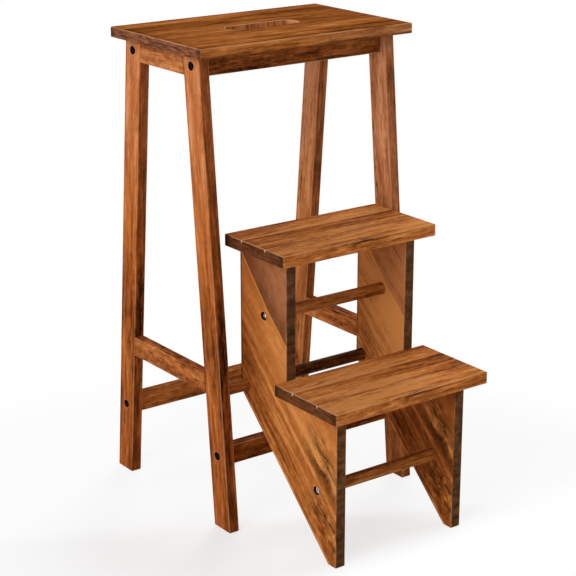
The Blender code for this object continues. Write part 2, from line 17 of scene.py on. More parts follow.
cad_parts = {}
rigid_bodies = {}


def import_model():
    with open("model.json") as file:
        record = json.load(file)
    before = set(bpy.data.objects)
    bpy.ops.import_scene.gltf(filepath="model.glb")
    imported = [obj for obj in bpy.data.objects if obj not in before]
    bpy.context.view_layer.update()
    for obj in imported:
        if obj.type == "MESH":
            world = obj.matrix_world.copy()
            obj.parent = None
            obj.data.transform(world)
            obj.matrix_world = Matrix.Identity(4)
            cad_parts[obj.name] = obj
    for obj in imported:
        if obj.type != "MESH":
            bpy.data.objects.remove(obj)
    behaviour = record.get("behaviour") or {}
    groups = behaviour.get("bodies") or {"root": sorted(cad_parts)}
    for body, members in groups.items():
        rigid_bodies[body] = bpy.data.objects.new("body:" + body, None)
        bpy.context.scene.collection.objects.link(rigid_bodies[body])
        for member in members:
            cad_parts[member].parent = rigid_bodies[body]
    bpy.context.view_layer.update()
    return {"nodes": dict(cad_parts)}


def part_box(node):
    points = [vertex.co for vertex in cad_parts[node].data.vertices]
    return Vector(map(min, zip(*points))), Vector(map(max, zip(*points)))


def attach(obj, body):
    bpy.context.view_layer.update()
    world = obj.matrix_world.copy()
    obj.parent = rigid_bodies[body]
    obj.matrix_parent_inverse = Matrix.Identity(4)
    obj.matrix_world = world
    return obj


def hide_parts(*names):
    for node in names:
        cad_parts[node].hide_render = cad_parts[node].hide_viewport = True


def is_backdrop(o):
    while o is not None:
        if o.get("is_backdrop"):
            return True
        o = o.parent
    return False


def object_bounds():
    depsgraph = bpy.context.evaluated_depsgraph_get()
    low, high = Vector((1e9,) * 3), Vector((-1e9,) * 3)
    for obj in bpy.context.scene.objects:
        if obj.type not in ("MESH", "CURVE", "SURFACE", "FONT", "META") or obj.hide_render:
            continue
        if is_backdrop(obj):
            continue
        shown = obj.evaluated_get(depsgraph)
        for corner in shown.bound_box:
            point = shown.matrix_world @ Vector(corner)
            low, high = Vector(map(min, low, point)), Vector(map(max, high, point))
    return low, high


for thing in list(bpy.data.objects):
    bpy.data.objects.remove(thing)
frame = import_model()
MM = 0.001

# %% [markdown]
# The camera comes first, because all that follows is judged through it. A long lens from
# a little above the steps, far to the left, keeps the upright edges nearly parallel. Places
# are in metres from the middle of the stool's footprint.

# %% Camera
IMAGE_SIZE = 576
FOCAL_PIXELS = 1690.0
SENSOR_WIDTH = 36.0
FAR_CLIP = 60.0
CAMERA_PLACE = Vector((-1.3135, -1.747, 1.0199))
CAMERA_AZIMUTH = math.radians(-36.42)
CAMERA_ELEVATION = math.radians(18.16)

bpy.ops.object.camera_add(location=CAMERA_PLACE,
                          rotation=(math.pi / 2 - CAMERA_ELEVATION, 0, CAMERA_AZIMUTH))
camera = bpy.context.object
camera.name = "camera"
camera.data.sensor_width = SENSOR_WIDTH
camera.data.lens = SENSOR_WIDTH * FOCAL_PIXELS / IMAGE_SIZE
camera.data.clip_end = FAR_CLIP
bpy.context.scene.camera = camera
print("lens in mm", round(camera.data.lens, 1))

# %% [markdown]
# Shader nodes are easier to read as sums. A small class wraps an output socket, and its
# operators add Math nodes, so a mask can be written as `1 - mask * 0.5`.

# %% Sockets as numbers
def wire(target, value):
    """Puts a value on an input socket, or links the output that is given."""
    if isinstance(value, Socket):
        value.tree.links.new(value.socket, target)
    else:
        target.default_value = value


def add_node(tree, kind, inputs=(), output=0, **settings):
    """Adds a node with its inputs and settings, and gives back one of its outputs."""
    made = tree.nodes.new(kind)
    for name, value in settings.items():
        setattr(made, name, value)
    for name, value in dict(inputs).items():
        wire(made.inputs[name], value)
    return Socket(tree, made.outputs[output])


def operator(operation, swapped=False):
    """A method of a socket that adds a Math node."""
    def method(self, *others):
        values = (self, *others)[::-1] if swapped else (self, *others)
        return add_node(self.tree, "ShaderNodeMath", enumerate(values), operation=operation)
    return method


class Socket:
    """An output of a shader node, with the operators that the finishes use."""

    def __init__(self, tree, socket):
        self.tree = tree
        self.socket = socket

    def rise(self, start, end):
        """A smooth climb from 0 to 1 as this goes from start to end, either way round."""
        values = enumerate((self, start, end, 0.0, 1.0))
        return add_node(self.tree, "ShaderNodeMapRange", values, interpolation_type="SMOOTHSTEP")

    __add__ = __radd__ = operator("ADD")
    __sub__ = operator("SUBTRACT")
    __rsub__ = operator("SUBTRACT", swapped=True)
    __mul__ = __rmul__ = operator("MULTIPLY")
    __abs__ = operator("ABSOLUTE")
    at_least = operator("MAXIMUM")
    at_most = operator("MINIMUM")
    above = operator("GREATER_THAN")


print("a socket has", [name for name in vars(Socket) if name[0] != "_"])

# %% [markdown]
# `Finish` holds one material, and has methods for the nodes that come back often. Colours
# and vectors go through Mix and Vector Math, because a Math node would turn a colour grey.

# %% Materials
WHITE = (1.0, 1.0, 1.0)
MIX_FIRST, MIX_SECOND, MIX_RESULT = 6, 7, 2


class Finish:
    """A material under construction, with its Principled shader."""

    def __init__(self, name):
        self.material = bpy.data.materials.new(name)
        self.material.use_nodes = True
        self.tree = self.material.node_tree
        self.shader = self.tree.nodes["Principled BSDF"]

    def node(self, kind, inputs=(), output=0, **settings):
        return add_node(self.tree, kind, inputs, output, **settings)

    def coordinates(self, kind):
        return self.node("ShaderNodeTexCoord", output=kind)

    def vector(self, operation, *values):
        """Vector Math, whose second output is a number: a length or a product."""
        output = int(operation in ("LENGTH", "DISTANCE", "DOT_PRODUCT"))
        return self.node("ShaderNodeVectorMath", enumerate(values), output, operation=operation)

    def split(self, vector):
        return [self.node("ShaderNodeSeparateXYZ", {0: vector}, axis) for axis in range(3)]

    def join(self, *values):
        return self.node("ShaderNodeCombineXYZ", enumerate(values))

    def noise(self, place, lumps, detail=3.0, roughness=0.55, warp=0.0):
        """Noise with so many lumps to the metre along each axis of the place."""
        place = self.vector("MULTIPLY", place, lumps)
        return self.node("ShaderNodeTexNoise", {"Vector": place, "Scale": 1.0, "Detail": detail,
                                                "Roughness": roughness, "Distortion": warp})

    def ramp(self, value, stops):
        """Colours along a value: the stops are pairs of a place and a colour."""
        made = self.tree.nodes.new("ShaderNodeValToRGB")
        points = made.color_ramp.elements
        while len(points) < len(stops):
            points.new(0.5)
        for point, (place, colour) in zip(points, stops):
            point.position = place
            point.color = (*colour, 1.0)
        wire(made.inputs[0], value)
        return Socket(self.tree, made.outputs[0])

    def blend(self, share, first, second):
        """One colour over another, by a share from 0 to 1."""
        first, second = [colour if isinstance(colour, Socket) else (*colour, 1.0)
                         for colour in (first, second)]
        return self.node("ShaderNodeMix", {0: share, MIX_FIRST: first, MIX_SECOND: second}, MIX_RESULT,
                         data_type="RGBA")

    def tinted(self, colour, share, tint):
        return self.vector("MULTIPLY", colour, self.blend(share, WHITE, tint))

    def bump(self, strength, depth, height):
        return self.node("ShaderNodeBump", {"Strength": strength, "Distance": depth, "Height": height})

    def set(self, **values):
        """Wires inputs of the Principled shader, named in small letters."""
        for name, value in values.items():
            wire(self.shader.inputs[name.replace("_", " ").title().replace("Ior", "IOR")], value)


print("a finish has", [name for name in vars(Finish) if name[0] != "_"])

# %% [markdown]
# Stained hardwood is not a picture of lines but a solid: growth rings round a pith, drawn
# out along the trunk. Noise that is stretched along the grain gives that in three
# dimensions, so the pattern runs on round every edge and into every hole. It has layers,
# each with so many lumps to the metre along the grain and across it. A span parts a layer
# into spots and clear wood. The strengths say how much of a layer an ordinary board shows.

# %% Layers of the pattern
Layer = namedtuple("Layer", "along across detail roughness warp span", defaults=(3.0, 0.55, 0.0, None))
LAYERS = {
    "wander": Layer(5, 20, detail=2),
    "bands": Layer(11, 50, detail=2),
    "streaks": Layer(42, 210, detail=4, roughness=0.6),
    "fibres": Layer(160, 800, detail=2),
    "mottle": Layer(95, 130, roughness=0.6),
    "flecks": Layer(30, 300, roughness=0.6, span=(0.56, 0.70)),
    "crowds": Layer(9, 30, detail=2, span=(0.42, 0.62)),
    "swirl": Layer(28, 40, detail=2, roughness=0.5),
    "curls": Layer(55, 90, roughness=0.6, warp=0.6, span=(0.52, 0.64)),
    "veins": Layer(30, 130, warp=0.3),
    "smoke": Layer(18, 75, span=(0.44, 0.62)),
    "blotches": Layer(55, 55, detail=5, roughness=0.7),
}
STRENGTHS = {"bands": 0.9, "streaks": 1.1, "fibres": 0.55, "mottle": 0.55, "flecks": 0.5, "veins": 0.8,
             "curls": 0.25, "smoke": 0.5}
for name, layer in LAYERS.items():
    print(name, "in mm", round(1 / layer.along / MM), "x", round(1 / layer.across / MM, 1))

# %% [markdown]
# Each board has axes of its own: along the grain, across it, and through its thickness. In
# the side view the grain may lean, so a Mapping node turns the place. Grain never runs dead
# straight: it wanders by some millimetres, and in a figured patch, where a branch grew, it
# swirls. Glued boards are cut from different places of the tree, so beyond each joint the
# pattern slides along.

# %% Axes of a board
ALONG_X = None
WANDER_REACH = 8 * MM
SWIRL_REACH = 22 * MM
BOARD_SLIDE = 0.37
PATCH_FADE = (1.0, 0.25)
FACING_SPAN = (0.5, 0.9)


def grain_axes(angle):
    """The ways along, across and through, for grain along X or at an angle above +Y."""
    if angle is ALONG_X:
        return ((1, 0, 0), (0, 1, 0), (0, 0, 1))
    y, z = math.cos(angle), math.sin(angle)
    return ((0, y, z), (0, -z, y), (1, 0, 0))


class Wood(Finish):
    """Wood, with what its looks are worked out from."""

    def __init__(self, name, angle, start, looks):
        super().__init__(name)
        self.looks = looks
        self.axes = grain_axes(angle)
        self.place = self.coordinates("Object")
        self.normal = self.coordinates("Normal")
        turn = Matrix(self.axes).transposed().to_euler()
        self.local = self.node("ShaderNodeMapping", vector_type="TEXTURE",
                               inputs={"Vector": self.place, "Location": start, "Rotation": turn})
        self.along, self.across, self.through = self.split(self.local)
        self.narrow_faces = abs(self.facing((0, 1, 0))).rise(*FACING_SPAN)
        self.figured = 0.0
        for middle, reach in looks.patches:
            offset = self.vector("DIVIDE", self.vector("SUBTRACT", self.local, middle), reach)
            self.figured = self.vector("LENGTH", offset).rise(*PATCH_FADE) + self.figured
        self.wander = (self.layer("wander", self.local, looks.stretch) - 0.5) * WANDER_REACH
        if looks.patches:
            swirl = self.layer("swirl", self.local) - 0.5
            self.wander = self.wander + self.figured * swirl * SWIRL_REACH
        slide = looks.cut_at
        for edge in looks.boards:
            slide = self.across.above(edge) * BOARD_SLIDE + slide
        self.grain = self.join(self.along + slide, self.across + self.wander, self.through)
        self.streaks = self.layer("streaks", self.grain, looks.stretch) - 0.5
        self.fibres = self.layer("fibres", self.grain, looks.stretch) - 0.5

    def layer(self, name, place, stretch=1.0):
        """One layer of the pattern, from 0 to 1."""
        along, across, detail, roughness, warp, span = LAYERS[name]
        noise = self.noise(place, (along * stretch, across, across), detail, roughness, warp)
        return noise.rise(*span) if span else noise

    def facing(self, direction):
        """From 1, where the surface faces in a direction, to -1, where it faces away."""
        return self.vector("DOT_PRODUCT", self.normal, direction)


print("a lean of 45 degrees puts the grain along", grain_axes(math.radians(45))[0])

# %% [markdown]
# The shade of a spot is a sum: broad bands, streaks, short fibres, and soft mottling that
# runs across them. A curve of tones sets how light a board is at each distance along or
# across it, which places glue lines and dark heartwood where the real boards have them.
# Another curve calms the pattern. A sum of shades is easier to judge than many mixed colours.

# %% Grain and tones
def tone_curve(wood, value, points):
    """The tone at each distance, from pairs of a distance in millimetres and a tone."""
    first, last = points[0][0], points[-1][0]
    share = (value * (1 / MM) - first) * (1 / (last - first))
    stops = [((distance - first) / (last - first), (tone + 0.5,) * 3) for distance, tone in points]
    return wood.ramp(share, stops) - 0.5


def grain_shade(wood):
    """What the grain adds to a board's middle shade."""
    looks = wood.looks
    bands = wood.layer("bands", wood.grain, looks.stretch) - 0.5
    mottle = wood.layer("mottle", wood.local) - 0.5
    shade = bands * looks.bands + wood.streaks * looks.streaks + wood.fibres * looks.fibres
    shade = shade + mottle * looks.mottle
    for way, points in ((wood.across, looks.calm_across), (wood.along, looks.calm_along)):
        if points:
            shade = shade * (tone_curve(wood, way, points) + 1)
    return shade


print("strengths", STRENGTHS)

# %% [markdown]
# The tones fade on the narrow front and rear faces, which some pieces also have darker.
# Painted shade darkens the rails' upper faces and the panels' rear edges. The seat is darker
# towards its underside. In a figured patch, curls of paler wood show.

# %% Shade of a board
TONE_WANDER = 0.25
NARROW_FADE = 0.55
RIM_REACH = (5 * MM, 1 * MM)
REAR_PAINTED_SHADES = (((5 * MM, 1 * MM), 0.40), ((90 * MM, 10 * MM), 0.14))


def board_shade(wood):
    """The shade of a board, from 0, nearly black, to 1."""
    looks = wood.looks
    shade = grain_shade(wood) + (looks.tone + 0.5)
    if looks.across_tones:
        shade = shade + tone_curve(wood, wood.across + wood.wander * TONE_WANDER, looks.across_tones)
    if looks.along_tones:
        fading = 1 - wood.narrow_faces * NARROW_FADE
        shade = shade + tone_curve(wood, wood.along, looks.along_tones) * fading
    if looks.side_shade:
        shade = shade - wood.narrow_faces * looks.side_shade
    # Painted shade: upper faces darker.
    if looks.top_shade:
        shade = shade - wood.facing((0, 0, 1)).rise(*FACING_SPAN) * looks.top_shade
    if looks.dark_rim:
        shade = shade - wood.through.rise(*RIM_REACH) * looks.dark_rim
    # Painted shade along the panels' rear edges: a narrow dark band and a wide weak fall-off.
    if looks.rear_edge:
        to_edge = looks.rear_edge - wood.split(wood.place)[1]
        for reach, darkness in REAR_PAINTED_SHADES:
            shade = shade - to_edge.rise(*reach) * darkness
    if looks.patches:
        shade = shade + wood.figured * wood.layer("curls", wood.local) * looks.curls
    return shade


print("rear edges darken by", [darkness for reach, darkness in REAR_PAINTED_SHADES])

# %% [markdown]
# Dark flecks are pores that took more stain, and they come in crowds. Dark veins and smoke
# follow the swirls of a figured patch. A vein is drawn where a slow noise passes through its
# middle value.

# %% Dark marks
VEIN_REACH = (0.030, 0.0)


def dark_marks(wood):
    """How much of the darkest stain lies over the colour."""
    looks = wood.looks
    marks = wood.layer("flecks", wood.grain) * wood.layer("crowds", wood.grain) * looks.flecks
    if looks.patches:
        veins = abs(wood.layer("veins", wood.grain) - 0.5).rise(*VEIN_REACH) * looks.veins
        smoke = wood.layer("smoke", wood.grain) * looks.smoke
        marks = marks + wood.figured * (veins + smoke)
    return marks


print("veins reach", VEIN_REACH[0], "to either side")

# %% [markdown]
# A ramp turns the shade into a stain, from nearly black to bright orange-brown. A tint makes
# a whole board redder or paler, and some boards only towards one end. The panels' upper
# corner is a board of its own, whose joint runs along the grain and then bends away from it.
# On the left panel that board is a dull cloudy brown with a thin line of glue along it.

# %% Stain
STAIN = ((0.00, (0.030, 0.008, 0.002)), (0.20, (0.110, 0.029, 0.006)), (0.40, (0.225, 0.059, 0.013)),
         (0.55, (0.335, 0.095, 0.023)), (0.70, (0.440, 0.135, 0.036)), (0.85, (0.545, 0.180, 0.050)),
         (1.00, (0.680, 0.260, 0.085)))
DARK_STAIN = (0.030, 0.011, 0.004)
CLOUDY_STAIN = ((0.34, (0.148, 0.049, 0.019)), (0.66, (0.232, 0.084, 0.032)))
CLOUD_TINTS = ((0.90, 0.87, 0.80), (2.0, 2.15, 2.3))
CLOUD_REACH = (0, 45 * MM)
GLUE_STAIN = (0.68, 0.30, 0.10)
GLUE_SHARE = 0.5
GLUE_START, GLUE_END = (-3.0 * MM, -1.0 * MM), (0.3 * MM, -0.3 * MM)
JOINT_BEND = 310 * MM
JOINT_SLOPE = 0.094
JOINT_START = (186 * MM, 232.5 * MM)
JOINT_FADE = (0, 1.0 * MM)


def stain_corner_board(wood, colour, edge, tint, cloudy):
    """Tints the board past a joint, and lays clouds on it, paler further from the joint."""
    bend = (wood.along.at_least(JOINT_BEND) - JOINT_BEND) * JOINT_SLOPE
    past_joint = wood.across - bend - edge
    reached = wood.along.rise(*JOINT_START)
    corner = past_joint.rise(*JOINT_FADE) * reached
    colour = wood.tinted(colour, corner, tint)
    clearing = wood.blend(past_joint.rise(*CLOUD_REACH), *CLOUD_TINTS)
    clouds = wood.vector("MULTIPLY", wood.ramp(wood.layer("blotches", wood.local), CLOUDY_STAIN), clearing)
    colour = wood.blend(corner * cloudy, colour, clouds)
    glue_line = past_joint.rise(*GLUE_START) * past_joint.rise(*GLUE_END) * reached
    return wood.blend(glue_line * GLUE_SHARE, colour, GLUE_STAIN)


def stain_board(wood, marks):
    """The colour of a board before its ends, edges and holes are treated."""
    looks = wood.looks
    colour = wood.blend(marks, wood.ramp(board_shade(wood), STAIN), DARK_STAIN)
    colour = wood.vector("MULTIPLY", colour, looks.tint)
    for end, faces in ((looks.pink_side, wood.narrow_faces), (looks.pale_end, 1.0)):
        if end:
            first, last, tint = end
            colour = wood.tinted(colour, wood.along.rise(first, last) * faces, tint)
    if looks.corner_board:
        colour = stain_corner_board(wood, colour, *looks.corner_board)
    return colour


print("stains on the ramp", len(STAIN))

# %% [markdown]
# End grain drinks stain, so it goes dark, and fine growth rings show in it. It is found by
# its normal, which faces along the grain. Where a board's end meets its front and rear
# edges, it is darker still.

# %% End grain
END_STAIN = (0.090, 0.032, 0.014)
END_SPAN = (0.40, 0.66)
END_SHARE = 0.92
RING_LUMPS = 60.0
RING_LIGHTS = ((0.32, 0.35), (0.50, 1.0), (0.68, 1.9))
END_CORNER = (16 * MM, 3 * MM)
END_CORNER_SHARE = 0.6


def end_mask(wood):
    """1 on end grain, apart from a little of the board's own colour."""
    return abs(wood.facing(wood.axes[0])).rise(*END_SPAN) * END_SHARE


def stain_ends(wood, colour, ends):
    looks = wood.looks
    rings = wood.noise(wood.place, (RING_LUMPS, RING_LUMPS, looks.end_lines), roughness=0.6)
    stops = [(place, tuple(part * share * light for part, share in zip(END_STAIN, looks.end_tint)))
             for place, light in RING_LIGHTS]
    colour = wood.blend(ends, colour, wood.ramp(rings, stops))
    if looks.end_depth:
        corners = wood.across.rise(*END_CORNER) + (looks.end_depth - wood.across).rise(*END_CORNER)
        colour = wood.blend(ends * corners * END_CORNER_SHARE, colour, DARK_STAIN)
    return colour


print("growth rings in mm", round(1 / RING_LUMPS / MM))

# %% [markdown]
# Edges are the other way round: sandpaper and hands rub the stain off them, in some places
# more than in others, and a painted highlight lies along them too. On a rounded edge the
# surface faces along no main axis of the piece.
# The legs and bars have nearly sharp edges, so there the place is asked as well.

# %% Worn edges and painted highlights
# The pale edge colour is partly rubbed-off stain and partly a painted highlight.
WORN_AND_HIGHLIGHT_STAIN = (0.62, 0.30, 0.15)
WEAR_AND_HIGHLIGHT_LUMPS = (14.0, 14.0, 14.0)
WEAR_AND_HIGHLIGHT_SPAN = (0.34, 0.60)
UPWARD_SPAN = (0.1, 0.4)
EDGE_SPAN = (0.99, 0.93)
CORNER_REACH = (1.2 * MM, 0.24 * MM)


def edge_mask(wood):
    """1 where the surface faces along no main axis of the piece."""
    axes = dict.fromkeys(grain_axes(ALONG_X) + wood.axes)
    squareness, *others = [abs(wood.facing(axis)) for axis in axes]
    for facing in others:
        squareness = squareness.at_least(facing)
    return squareness.rise(*EDGE_SPAN)


def corner_mask(wood, half_width, half_thickness):
    """1 along the four long corners of a bar."""
    to_side, to_face = half_width - abs(wood.across), half_thickness - abs(wood.through)
    return to_side.rise(*CORNER_REACH) * to_face.rise(*CORNER_REACH)


def wear_and_highlight_edges(wood, colour):
    """Rubs the stain off the edges and paints a highlight along them, less below if the looks say so."""
    looks = wood.looks
    edge = edge_mask(wood)
    if looks.halves:
        edge = edge.at_least(corner_mask(wood, *looks.halves))
    patchy = wood.noise(wood.place, WEAR_AND_HIGHLIGHT_LUMPS, detail=4.0, roughness=0.65).rise(*WEAR_AND_HIGHLIGHT_SPAN)
    wear_and_highlight = edge * patchy * looks.worn
    if looks.worn_below < 1.0:
        upward = wood.facing((0, 0, 1)).rise(*UPWARD_SPAN)
        wear_and_highlight = wear_and_highlight * (upward * (1 - looks.worn_below) + looks.worn_below)
    return wood.blend(wear_and_highlight, colour, WORN_AND_HIGHLIGHT_STAIN)


print("bars are worn within", CORNER_REACH[0] / MM, "mm of their corners")

# %% [markdown]
# Where a groove meets a tread's left end, a small pale spot is a painted highlight. The seat's
# hand slot has a painted highlight along its rim, palest at its left tip. Its walls show bare
# stripes that run down them, but for the top of the right end, where a painted highlight
# stands for the light it catches.

# %% Groove glints and slot
PALE_HIGHLIGHT = (0.90, 0.62, 0.45)
GLINT_SHARE = 0.5
GLINT_ACROSS, GLINT_ALONG, GLINT_UP = (1.8 * MM, 0.8 * MM), (2.0 * MM, 0.6 * MM), (3 * MM, 6 * MM)
RIM_HIGHLIGHT = (0.68, 0.31, 0.15)
SLOT_STAIN = ((0.36, (0.210, 0.070, 0.022)), (0.50, (0.390, 0.140, 0.046)), (0.64, (0.480, 0.190, 0.070)))
STRIPE_LUMPS = (210.0, 90.0, 20.0)
SLOT_MARGIN = (-2.0 * MM, -1.5 * MM)
TIP_REACH = (6 * MM, 3 * MM)
RIM_SPAN = (0.97, 0.80)
WALL_SPAN = (0.45, 0.15)
LIT_END_SPAN = (0.45, 0.9)
LIT_END_REACH = (-6 * MM, -1 * MM)


# A pale spot where a groove meets a tread's left end is a painted highlight.
def groove_end_glint(wood, colour, joint):
    glint = abs(wood.across - joint).rise(*GLINT_ACROSS) * wood.along.rise(*GLINT_ALONG)
    return wood.blend(glint * wood.through.rise(*GLINT_UP) * GLINT_SHARE, colour, PALE_HIGHLIGHT)


def stain_and_highlight_slot(wood, colour, middle, half_length, half_width):
    """A painted highlight round a slot's rim, stripes on its walls, and a painted highlight on the top of
    its right end.
    """
    x, y, z = wood.split(wood.vector("SUBTRACT", wood.place, middle))
    inside = (half_length - abs(x)).rise(*SLOT_MARGIN) * (half_width - abs(y)).rise(*SLOT_MARGIN)
    level = abs(wood.facing((0, 0, 1)))
    # The pale rim, palest at the left tip, is a painted highlight, and so is the lit top of the right end.
    rim_highlight = wood.blend((x + half_length).rise(*TIP_REACH), RIM_HIGHLIGHT, PALE_HIGHLIGHT)
    colour = wood.blend(inside * level.rise(*RIM_SPAN), colour, rim_highlight)
    stripes = wood.ramp(wood.noise(wood.place, STRIPE_LUMPS, roughness=0.6), SLOT_STAIN)
    lit_end = wood.facing((-1, 0, 0)).rise(*LIT_END_SPAN) * z.rise(*LIT_END_REACH)
    stripes = wood.blend(lit_end, stripes, RIM_HIGHLIGHT)
    return wood.blend(inside * level.rise(*WALL_SPAN), colour, stripes)


print("chips are", 2 * GLINT_ACROSS[0] / MM, "mm wide")

# %% [markdown]
# The well of each bolt is dark inside, partly dark stain and partly painted shade, with a faint
# pale ring round it, a painted highlight on its rim. Wells are found by their distance from the
# bolts' axes in the side view. The darkening runs out a little further to the front and rear
# than up and down.

# %% Wells
WELL_RADIUS = 5.6 * MM
WELL_FLATNESS = 0.88
WELL_RING = 1.2 * MM
WELL_RING_SHARE = 0.3
WELL_FADE = 0.5 * MM


def well_mask(wood, radius):
    """1 within a radius of the bolts' axes."""
    inside = 0.0
    side_view = wood.vector("MULTIPLY", wood.place, (0, WELL_FLATNESS, 1))
    for y, z in wood.looks.wells:
        distance = wood.vector("DISTANCE", side_view, (0, y * WELL_FLATNESS, z))
        inside = distance.rise(radius + WELL_FADE, radius) + inside
    return inside


def stain_and_shade_wells(wood, colour):
    # The pale ring is a painted highlight on the well's rim; the dark inside is dark stain and painted
    # shade.
    colour = wood.blend(well_mask(wood, WELL_RADIUS + WELL_RING) * WELL_RING_SHARE, colour, WORN_AND_HIGHLIGHT_STAIN)
    return wood.blend(well_mask(wood, WELL_RADIUS), colour, DARK_STAIN)


print("wells in mm", round(2 * WELL_RADIUS / MM, 1))

# %% [markdown]
# A whole wood puts these together. A piece gives only the looks that differ from the plain
# ones. The streaks and fibres also make the bump, in which the dark marks are sunk. The gloss
# is very low, because an even white studio in it would veil the dark stain with grey.

# %% A whole wood
PLAIN_LOOKS = dict(
    STRENGTHS, cut_at=0.0, boards=(), patches=(), stretch=1.0, tone=0.0, tint=WHITE, across_tones=None,
    along_tones=None, calm_across=None, calm_along=None, side_shade=0.0, top_shade=0.0, dark_rim=0.0,
    rear_edge=None, pink_side=None, pale_end=None, corner_board=None, end_tint=WHITE, end_lines=420.0,
    end_depth=None, worn=0.35, worn_below=1.0, halves=None, chips=(), slot=None, wells=(),
    roughness=0.40, specular=0.002)
STREAK_HEIGHT, FIBRE_HEIGHT, MARK_DEPTH = 0.6, 0.4, 0.5
BUMP_STRENGTH, BUMP_DEPTH = 0.3, 0.12 * MM
STREAK_ROUGHNESS, END_ROUGHNESS = 0.3, 0.25


def make_wood(name, angle, start, **looks):
    """Stained wood whose grain starts at a point and runs at an angle."""
    looks = SimpleNamespace(**(PLAIN_LOOKS | looks))
    wood = Wood(name, angle, start, looks)
    marks = dark_marks(wood)
    ends = end_mask(wood)
    colour = stain_ends(wood, stain_board(wood, marks), ends)
    if looks.worn:
        colour = wear_and_highlight_edges(wood, colour)
    for joint in looks.chips:
        colour = groove_end_glint(wood, colour, joint)
    if looks.slot:
        colour = stain_and_highlight_slot(wood, colour, *looks.slot)
    if looks.wells:
        colour = stain_and_shade_wells(wood, colour)
    height = wood.streaks * STREAK_HEIGHT + wood.fibres * FIBRE_HEIGHT - marks * MARK_DEPTH
    roughness = wood.streaks * STREAK_ROUGHNESS + ends * END_ROUGHNESS + looks.roughness
    wood.set(base_color=colour, roughness=roughness, normal=wood.bump(BUMP_STRENGTH, BUMP_DEPTH, height),
             specular_ior_level=looks.specular)
    return wood.material


print("looks", sorted(PLAIN_LOOKS))

# %% [markdown]
# Each piece has a material of its own, because two pieces are rarely cut from the same spot
# of a tree. Legs run nearly upright, so their grain leans with them, and their tones are set
# by the height above the foot. The narrow faces took the stain darker than the broad ones,
# and the left legs show a dark flame 235 mm up.

# %% Legs
LEG_WIDTH = 36.1 * MM
END_BAND = 2 * MM


def foot_of(node):
    """The middle of a leg's foot, and the angle above +Y at which the leg leans."""
    corners = [vertex.co for vertex in frame["nodes"][node].data.vertices]
    low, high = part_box(node)
    rows = [[corner.y for corner in corners if abs(corner.z - end) < END_BAND] for end in (low.z, high.z)]
    foot, head = [(min(row) + max(row)) / 2 for row in rows]
    return Vector(((low.x + high.x) / 2, foot, low.z)), math.atan2(high.z - low.z, head - foot)


def dress(node, material):
    """Gives a CAD node one material."""
    mesh = frame["nodes"][node].data
    mesh.materials.clear()
    mesh.materials.append(material)


def axis_of(bolt):
    """Where a bolt's axis crosses the side view, as y and z."""
    low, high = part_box(bolt)
    return ((low.y + high.y) / 2, (low.z + high.z) / 2)


left_leg_tones = ((0, -0.12), (120, -0.10), (170, -0.10), (200, -0.17), (250, -0.20), (300, -0.09),
                  (345, 0.10), (480, 0.10), (560, 0.10), (640, 0.11))
right_leg_tones = ((0, -0.12), (200, -0.10), (300, -0.03), (420, 0.0), (520, 0.14), (640, 0.18))
leg_calm = ((0, -0.2), (150, -0.1), (200, 0.1), (290, 0.1), (350, -0.15), (640, -0.15))
flame = (((0.235, 0.004, 0), (0.065, 0.024, 0.024)),)
left_leg = dict(tone=0.165, tint=(1.03, 0.96, 0.85), pale_end=(380 * MM, 560 * MM, (1.05, 1.125, 1.52)),
                along_tones=left_leg_tones, calm_along=leg_calm, patches=flame, veins=0.15, curls=0.0,
                smoke=0.6)
# The right legs' pink tint, stronger towards the top, is a painted sheen of pale reflection.
right_leg = dict(pale_end=(300 * MM, 500 * MM, (1.0, 1.06, 1.35)), along_tones=right_leg_tones, flecks=0.8,
                 streaks=0.95)
leg_looks = {
    "front_leg_left": dict(left_leg, side_shade=0.36),
    "front_leg_right": dict(right_leg, tone=0.14, side_shade=0.14, tint=(1.0, 1.10, 1.30), cut_at=0.7),
    "rear_leg_left": dict(left_leg, side_shade=0.32),
    "rear_leg_right": dict(right_leg, tone=0.32, side_shade=0.36, tint=(0.98, 1.04, 1.12), cut_at=1.9),
}
for node, looks in leg_looks.items():
    foot, lean = foot_of(node)
    low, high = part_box(node)
    end = node.split("_")[0]
    wells = [axis_of(f"frame_bolt_{end}_{member}_left") for member in ("apron", "lower_rail")]
    dress(node, make_wood(f"{node}_wood", lean, foot, halves=(LEG_WIDTH / 2, (high.x - low.x) / 2),
                          wells=wells, worn=0.42, stretch=0.55, bands=1.1, fibres=0.45, mottle=0.35,
                          **looks))
    print(node, "leans at", round(math.degrees(lean), 1), "degrees")

# %% [markdown]
# The aprons under the seat and the rails low down are straight bars. The cross members run
# along X, and the side members along Y, at an angle of 0. Each is cut at its own distance
# along the tree. Painted shade darkens the rails' upper faces.

